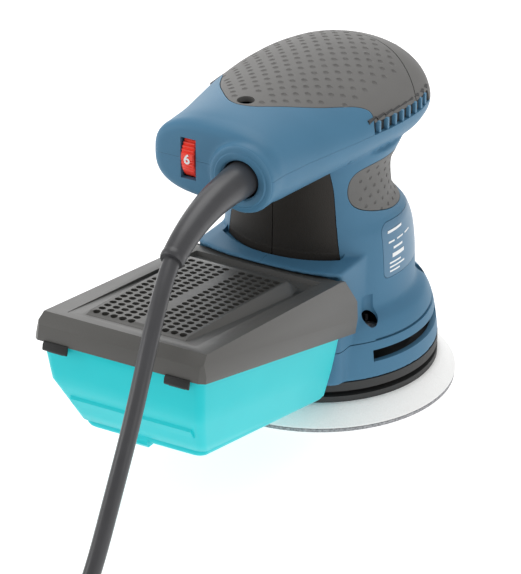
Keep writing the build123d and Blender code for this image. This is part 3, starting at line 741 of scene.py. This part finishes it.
def add_head(shell):
    boolean(shell, above(0.06), "INTERSECT")
    edge = rounded(GRIP_LINE, 4)
    grip = boolean(copy(shell, "grip"), plan_prism(edge, 118, 175), "INTERSECT")
    cover = boolean(shell, plan_prism(grown(edge, GAP), 117, 176))
    strip = ((-27.0, -1), (-27.0, 5.0), (27.4, 5.0), (27.4, -1))
    boolean(grip, side_prism([(y, seam_z(y) + lift) for y, lift in strip]))
    boolean(grip, head_dimples())
    arc = []
    for k in range(25):
        x = -46 + 92 * k / 24
        arc.append((x, 34 - 0.0125 * x * x))
    groove = plan_prism(arc + [(x, y - 0.6) for x, y in reversed(arc)], 138, 175)
    shallow = head_form(0.5, 60, 120)
    boolean(groove, shallow)
    boolean(grip, groove)
    wells = [rod((x, y, z), (x, y, 175), 3.9) for x, y, z in HEAD_SCREWS]
    boolean(grip, wells, keep=True)
    boolean(cover, wells)
    finish_mesh(cover, BLUE)
    finish_mesh(grip, GRIP)
    piece(cover, "head_shell", "housing", ("head_cover",))
    piece(grip, "head_grip", "housing", ("soft_grip",))
    add_windows()


def window_blocks(y, half_length, depths, lifts):
    """A block on each side of the head, by depths in from its widest line and lifts off the seam."""
    outer = smooth_rows(HEAD, np.array([y]))[0][0]
    z = seam_z(y)
    blocks = []
    for side in (-1, 1):
        x0, x1 = sorted(side * (outer - depth) for depth in depths)
        blocks.append(block(x0, x1, y - half_length, y + half_length, z + lifts[0], z + lifts[1]))
    return blocks


def add_windows():
    """Bars between the air windows, and black blocks behind them as painted shade inside the head."""
    bars, backs = [], []
    for k in range(WINDOWS):
        y = WINDOW_Y + WINDOW_PITCH * k
        backs += window_blocks(y, WINDOW_PITCH / 2, (5.5, 2.0), (-1.5, 7))
        if k < WINDOWS - 1:
            bars += window_blocks(y + WINDOW_PITCH / 2, 0.75, (3.0, 0.3), (-0.6, 5.3))
    grille = joined("bars", bars)
    finish_mesh(grille, BLUE, bevel=0.12)
    piece(grille, "air_grille", "housing")
    # Black blocks behind the windows: painted shade where the inside of the head lies in shadow
    window_shade = joined("backs", backs)
    finish_mesh(window_shade, BLACK)
    piece(window_shade, "painted_window_shade", "housing")


def side_slots(outer, inner, a0, a1, z0, z1):
    """Part of a flat ring round the spindle on the right, and its twin on the left."""
    arc = [radians(a0 + (a1 - a0) * k / 24) for k in range(25)]
    slots = []
    for flip in (1, -1):
        plan = [(flip * outer * cos(a), outer * sin(a)) for a in arc]
        plan += [(flip * inner * cos(a), inner * sin(a)) for a in reversed(arc)]
        slots.append(plan_prism(plan, z0, z1))
    return slots


def add_housing(lower):
    boolean(lower, below(0.06, 37.2), "INTERSECT")
    boolean(lower, side_slots(64, 50.6, -31, 31, 36, 38.3))
    grip_edge = rounded(SIDE_GRIP_LINE, 7)
    band = boolean(copy(lower, "band"), side_prism(grip_edge), "INTERSECT")
    skin = boolean(rear_prism(PANEL_LINE, -60, -20), neck_form(40, 122, -0.9, 160), "INTERSECT")
    panel = boolean(copy(lower, "panel"), skin, "INTERSECT")
    skin = boolean(rear_prism(grown(PANEL_LINE, GAP), -60, -20), neck_form(40, 122, -1.1, 160), "INTERSECT")
    boolean(lower, [side_prism(grown(grip_edge, GAP)), skin])
    boolean(band, neck_dimples())
    boolean(lower, [rod((x, y, 40), (x, y, 56), 3.8) for x, y in SKIRT_SCREWS])
    slits = []
    for k in range(3):
        x, y = 33 - 1.5 * k, -58 + 7.5 * k
        z0, z1 = 121 + 1.2 * k, 125.5 + 1.2 * k
        plate = [(x - 12, y, z0), (x - 12, y + 1.3, z0), (x + 8, y + 7.3, z1), (x + 8, y + 6, z1)]
        slits.append(prism("slit", plate, (0, 3.2, -2.4)))
    boolean(lower, slits)
    split = block(-0.15, 0.15, -140, 120, 10, 180)
    boolean(panel, [block(-0.2, 0.2, -140, 120, 10, 180), rod((0, -60, 111.3), (0, -20, 111.3), 1.1)])
    boolean(lower, boolean(label_prism(0.25), neck_form(60, 90, 0.45)))
    # The wide block removes nothing, but the left shell's triangles depend on this step
    left = boolean(copy(lower, "left"), [block(-90, 90, -140, 120, 10, 180)], "INTERSECT")
    right = boolean(lower, [block(-90, 0.0, -150, 130, 5, 185), split])
    boolean(left, block(0.0, 90, -150, 130, 5, 185))
    for obj, name in ((left, "left"), (right, "right")):
        finish_mesh(obj, BLUE)
        piece(obj, "housing_shell_" + name, "housing", ("housing_" + name,))
    finish_mesh(band, GRIP)
    finish_mesh(panel, PANEL)
    piece(band, "side_grip", "housing", ("side_grip_left", "side_grip_right"))
    piece(panel, "neck_panel", "housing", ("neck_panel_left", "neck_panel_right"))
    label = boolean(label_prism(0.0), neck_form(60, 90, 0.4))
    boolean(label, neck_form(60, 90, -0.02), "INTERSECT")
    finish_mesh(label, LABEL)
    piece(label, "rating_label", "housing", ("rating_plate",))
    add_print()


def label_prism(extra):
    edge = rounded([(-13.5, 61), (-13.5, 84.5), (-10, 87), (26, 84), (30, 78), (30, 61)], 3)
    return side_prism(grown(edge, extra), 20, 60)


PRINT_LINES = [   # height on the plate, thickness, and where each mark starts and ends
    (82.0, 2.2, [(4, 15)]),
    (77.5, 1.0, [(4, 8), (10, 15), (17, 22)]),
    (74.2, 1.2, [(7, 14)]),
    (70.5, 2.6, [(6, 15)]),
    (67.6, 0.8, [(4, 12)]),
    (65.6, 0.8, [(4, 15)]),
    (63.6, 0.8, [(4, 11)]),
]


def add_print():
    """Blank bars in place of the lettering of a rating plate, bent round the neck."""
    marks = []
    for z, height, runs in PRINT_LINES:
        cy, half, length = smooth_rows(NECK, np.array([z]), tight=True)[0]
        for y0, y1 in runs:
            count = max(2, y1 - y0)
            places = [-14 + y0 + (y1 - y0) * k / count for k in range(count + 1)]
            angles = [np.arcsin((y - cy) / length) for y in places]
            for ends in zip(angles, angles[1:]):
                low = [(half * cos(a), cy + length * sin(a)) for a in ends]
                high = [((half + 0.06) * cos(a), cy + (length + 0.06) * sin(a)) for a in ends]
                marks.append(plan_prism(low + high[::-1], z - height / 2, z + height / 2))
    ink = joined("print", marks)
    finish_mesh(ink, PRINT)
    piece(ink, "label_print", "housing")


def add_skirt(form):
    boolean(form, block(-90, 90, -150, 130, 10, 36.75), "INTERSECT")
    boolean(form, [*side_slots(60, 46, -33, 34, 27.6, 33.0), *side_slots(60, 46, 38, 74, 27.6, 33.0)])
    finish_mesh(form, BLUE)
    piece(form, "skirt_shell", "housing", ("skirt",))


# ---------------------------------------------------------------- dust box
def box_place(u, v, w):
    y, z = box_point(v, w)
    return (u, y, z)


def box_run(start, end):
    """Step between two places in the dust box's own coordinates."""
    return np.array(box_place(*end)) - np.array(box_place(*start))


def box_prism(points, u0, u1):
    return prism("box_prism", [box_place(u0, v, w) for v, w in points], (u1 - u0, 0, 0))


GRID_PITCH, GRID_ROWS, GRID_COLUMNS = 4.32, 19, 5     # holes in the lid; columns on each side


def rim_w(v):
    return 19.0 + 0.0735 * (127 - v)


def gutter_w(v):
    return 19.6 + 0.052 * (115 - v)


def add_lid():
    profile = [(5.6, 3.2), (131, 6.9), (131, 13.8), (127, rim_w(127)), (8, rim_w(8)), (5.6, 22)]
    form = box_prism(profile, -42, 42)
    cheek = [(9, 3.3), (-4, 2.9), (-5, 17), (4.8, 27.4), (9, 27.6)]
    boolean(form, [box_prism(cheek, u, u + 5.9) for u in (-41.95, 36.05)], "UNION")
    taper = mirrored([(-42, -3), (-42, 9.5), (-37.4, 32)])
    run = box_run((0, -12, 0), (0, 145, 0))
    boolean(form, prism("taper", [box_place(u, -12, w) for u, w in taper], run), "INTERSECT")
    plan = mirrored([(-43, -12), (-43, 127.5), (-38.6, 132)])
    run = box_run((0, 0, 0), (0, 0, 60))
    boolean(form, prism("plan", [box_place(u, v, -10) for u, v in plan], run), "INTERSECT")
    boolean(form, box_prism([(15, gutter_w(15)), (122, gutter_w(122)), (122, 40), (15, 40)], -31.5, 31.5))
    half = 24.4     # raised field under the grid of holes
    rings = []
    for v, high in ((118.5, gutter_w(118.5) + 0.06), (115, 20.9), (75, 25.6), (33, 29.4),
                    (22.0, gutter_w(22.0) + 0.1)):
        floor = gutter_w(v)
        base = half + 0.3 + 0.55 * (high - floor)
        rings.append([box_place(-base, v, floor - 2), box_place(base, v, floor - 2),
                      box_place(base, v, floor - 0.02), box_place(half, v, high),
                      box_place(-half, v, high), box_place(-base, v, floor - 0.02)])
    boolean(form, rings_mesh("raised", rings), "UNION")
    hollow = [(9.5, 3), (125, 3), (125, 15.5), (118, 17.2), (75, 22.4), (34, 26.0), (26, 21.6), (9.5, 21.6)]
    boolean(form, box_prism(hollow, -22.5, 22.5))
    round_edges(form, 0.7, 3, 24)
    drills = []
    up = box_run((0, 0, 0), (0, 0, 1))
    for row in range(GRID_ROWS):
        v = 114.9 - GRID_PITCH * row
        for column in range(GRID_COLUMNS):
            for side in (-1, 1):
                foot = np.array(box_place(side * (4.1 + GRID_PITCH * column), v, 14.5))
                drills.append(rod(foot, foot + 18 * up, 1.65, sides=20))
    boolean(form, joined("drills", drills))
    finish_mesh(form, DARK, 28)
    piece(form, "dust_box_lid", "dust_box", ("dust_lid",))


def add_latches():
    outline = [(131.05, 3.4), (131.9, 3.4), (132.4, 4.2), (132.4, 6.4), (131.7, 7.4), (131.05, 7.6)]
    hook = [(127.5, 3.0), (131.2, 3.0), (131.2, 4.8), (127.5, 4.8)]
    parts = []
    for u in (-30, 30):
        parts += [box_prism(outline, u - 6, u + 6), box_prism(hook, u - 4, u + 4)]
    clips = joined("clips", parts)
    finish_mesh(clips, BLACK, bevel=0.2)
    piece(clips, "dust_box_latches", "dust_box", ("bin_latches",))


BIN_LEVELS = np.array([   # height at rear and front, half width at rear and front, and the rear end
    (-35.5, -27.0, 29.8, 36.2, 100.0),
    (-11.5, -11.5, 37.8, 38.9, 121.0),
    (5.0, 5.0, 39.6, 40.6, 127.6),
    (7.4, 7.4, 39.8, 40.8, 128.2),
])
BIN_FRONT = 5.6


def bin_ring(level, inset, radius):
    """One round of the bin's wall, at a level between two rows of the table, counted from the floor."""
    w_rear, w_front, half_rear, half_front, rear = [
        np.interp(level, range(len(BIN_LEVELS)), column) for column in BIN_LEVELS.T]
    front, rear = BIN_FRONT + inset, rear - inset
    ring = []
    corners = ((half_front, front, -90), (half_rear, rear, 0),
               (-half_rear, rear, 90), (-half_front, front, 180))
    for cu, cv, a0 in corners:
        su, sv = np.sign(cu), 1 if cv == rear else -1
        for k in range(9):
            a = radians(a0 + 90 * k / 8)
            u = cu - su * (inset + radius) + radius * cos(a)
            v = cv - sv * radius + radius * sin(a)
            ring.append((u, v, np.interp(v, (front, rear), (w_front, w_rear))))
    return np.array(ring)


def bin_wall(inset, floor, radius):
    """Rings from the floor's rounded edge up to the rim."""
    rings = []
    for a in np.linspace(0, pi / 2, 6):
        ring = bin_ring(0.04, inset + 3 * (1 - sin(a)), radius)
        ring[:, 2] = bin_ring(0.0, inset, radius)[:, 2] + floor + 3 * (1 - cos(a))
        rings.append(ring)
    levels = np.concatenate([np.linspace(0.16, 1, 6), np.linspace(1, 2, 5)[1:], [3]])
    return rings + [bin_ring(level, inset, radius) for level in levels]


def add_bin():
    rings = bin_wall(0.0, 0.0, 4.0) + bin_wall(1.8, 1.8, 2.6)[::-1]
    form = rings_mesh("bin", [[box_place(*p) for p in ring] for ring in rings])
    tab = box_prism([(94, -34.8), (100.5, -33.5), (100.5, -36.4), (99, -37.6), (94, -36.5)], -9, 2)
    ledge = box_prism([(108, -21.0), (114.6, -18.6), (114.6, -20.4), (111.6, -23.6), (108, -23.6)], -30, 30)
    boolean(form, [tab, ledge], "UNION")
    bore = [box_place(0, v, SPIGOT_W) for v in (0, 9)]
    boolean(form, rod(bore[0], bore[1], 11.5))
    finish_mesh(form, CLEAR, 35)
    piece(form, "dust_box_bin", "dust_box", ("dust_bin",))


# ---------------------------------------------------------------- small pieces
def swept(name, points, radii, sides=64):
    """Round sleeve along a smooth line, with a radius for each step."""
    rows = np.array([(k, *p) for k, p in enumerate(points)], float)
    at = np.linspace(0, len(points) - 1, len(radii))
    line = smooth_rows(rows, at)
    tangents = np.gradient(line, axis=0)
    turns = [2 * pi * k / sides for k in range(sides)]
    rings = []
    side = np.array([1.0, 0, 0])
    for place, ahead, r in zip(line, tangents, radii):
        ahead = ahead / np.linalg.norm(ahead)
        side = side - ahead * np.dot(side, ahead)
        side = side / np.linalg.norm(side)
        other = np.cross(ahead, side)
        rings.append([place + r * (cos(a) * side + sin(a) * other) for a in turns])
    return rings_mesh(name, rings)


def add_relief():
    """Tapered bend protector with a lip at its far end, and the flange where it leaves the head."""
    steps = 80
    radii = []
    for k in range(steps):
        t = k / (steps - 1)
        lip = 0.2 if t > 0.95 else 0
        radii.append(8.5 - 3.3 * t ** 0.8 + lip)
    radii[-1] = radii[-2] - 0.4
    radii[0] = 8.2
    sleeve = swept("relief", RELIEF, radii)
    profile = [(0, 6), (0, 9.7), (0.3, 10), (1.3, 10), (1.6, 9.7), (1.6, 6)]
    flange = lathe("flange", profile, (BOSS[0], -89.6, BOSS[1]), (0, 1, 0))
    sleeve = joined("sleeve", [sleeve, flange])
    finish_mesh(sleeve, LEAD_RUBBER, 40)
    piece(sleeve, "lead_sleeve", "housing", ("bend_protector",))
    return sleeve


def add_dial():
    count = 432
    rings = []
    for x, shrink in ((-DIAL_HALF, 0.9), (-DIAL_HALF, 0.5), (-DIAL_HALF + 0.5, 0.0), (DIAL_HALF - 0.5, 0.0),
                      (DIAL_HALF, 0.5), (DIAL_HALF, 0.9)):
        ring = []
        for k in range(count):
            a = 2 * pi * k / count
            from_digit = (np.degrees(a) + DIGIT_STEP / 2) % DIGIT_STEP - DIGIT_STEP / 2
            groove = 0.0 if abs(from_digit) < 11 else 0.55 * max(0.0, cos(48 * a)) ** 0.5
            r = DIAL_R - groove - shrink
            ring.append((DIAL[0] + x, DIAL[1] - r * cos(a), DIAL[2] + r * sin(a)))
        rings.append(ring)
    wheel = rings_mesh("wheel", rings)
    axle = rod((DIAL[0] + 3, DIAL[1], DIAL[2]), (DIAL[0] + 6.6, DIAL[1], DIAL[2]), 2.0)
    wheel = joined("wheel", [wheel, axle])
    finish_mesh(wheel, RED, 35)
    piece(wheel, "speed_wheel", "dial", ("speed_dial",))
    add_digits()


def add_digits():
    """Numbers 6 to 1 round the rim of the speed wheel."""
    for step in range(6):
        data = bpy.data.curves.new("digit", "FONT")
        data.body = str(6 - step)
        data.size = 6.2 * MM
        data.extrude = 0.05 * MM
        data.align_x = "CENTER"
        data.align_y = "CENTER"
        data.offset = 0.16 * MM
        data.materials.append(PRINT)
        digit = bpy.data.objects.new("digit_" + str(6 - step), data)
        bpy.context.collection.objects.link(digit)
        turn = radians(DIGIT_STEP * step)
        out = Vector((0, -cos(turn), sin(turn)))
        upward = Vector((0, sin(turn), cos(turn)))
        basis = Matrix((Vector((1, 0, 0)), upward, out)).transposed()
        place = Vector(DIAL) + out * (DIAL_R + 0.02)
        digit.matrix_world = Matrix.Translation(place * MM) @ basis.to_4x4()
        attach(digit, "dial")


def add_pad():
    profile = [(1.4, 58), (1.4, 61.4), (1.9, 62.3), (2.8, 62.3),
               (9.4, 56.4), (10.2, 55.4), (10.6, 54.4), (10.6, 40)]
    foam = lathe("foam", profile, (0, 0, 0), (0, 0, 1), 240)
    finish_mesh(foam, FOAM, 50)
    piece(foam, "foam_pad", "pad", ("pad_foam",))


NODE_LOOKS = {
    "pad_screws": ZINC, "skirt_screws": ZINC, "cover_screws": ZINC, "spindle_nut": ZINC,
    "brush_springs": ZINC,
    "hook_face": HOOKS, "backing_plate": BLACK, "skirt_ring": BLACK, "pad_brake": BLACK,
    "dust_spigot": BLACK,
    "inlet_seal": BLACK, "power_rocker": DARK, "switch_body": BLACK, "brush_holders": BLACK,
    "cord_clamp": BLACK, "dial_potentiometer": BLACK, "filter_element": PAPER, "plug_body": LEAD_RUBBER,
    "plug_pins": BRASS, "bearing_plate": ALLOY, "bearing_bracket": ALLOY, "eccentric_hub": ALLOY,
    "pad_spindle": ALLOY, "stator_core": SHEETS, "armature_core": SHEETS, "field_coils": WIRE,
    "armature_winding": WIRE, "commutator": WIRE, "carbon_brushes": CARBON, "fan": BLACK,
    "speed_board": BOARD, "motor_shaft": STEEL,
}


def dress_nodes():
    for node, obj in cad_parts.items():
        look = NODE_LOOKS.get(node, STEEL if "_bearing_" in node else None)
        if look:
            for holder in obj.material_slots:
                holder.material = look


add_camera()
add_stage()
lead = add_lead()
sleeve = add_relief()
add_shells()
add_lid()
add_latches()
add_bin()
add_dial()
add_pad()
dress_nodes()
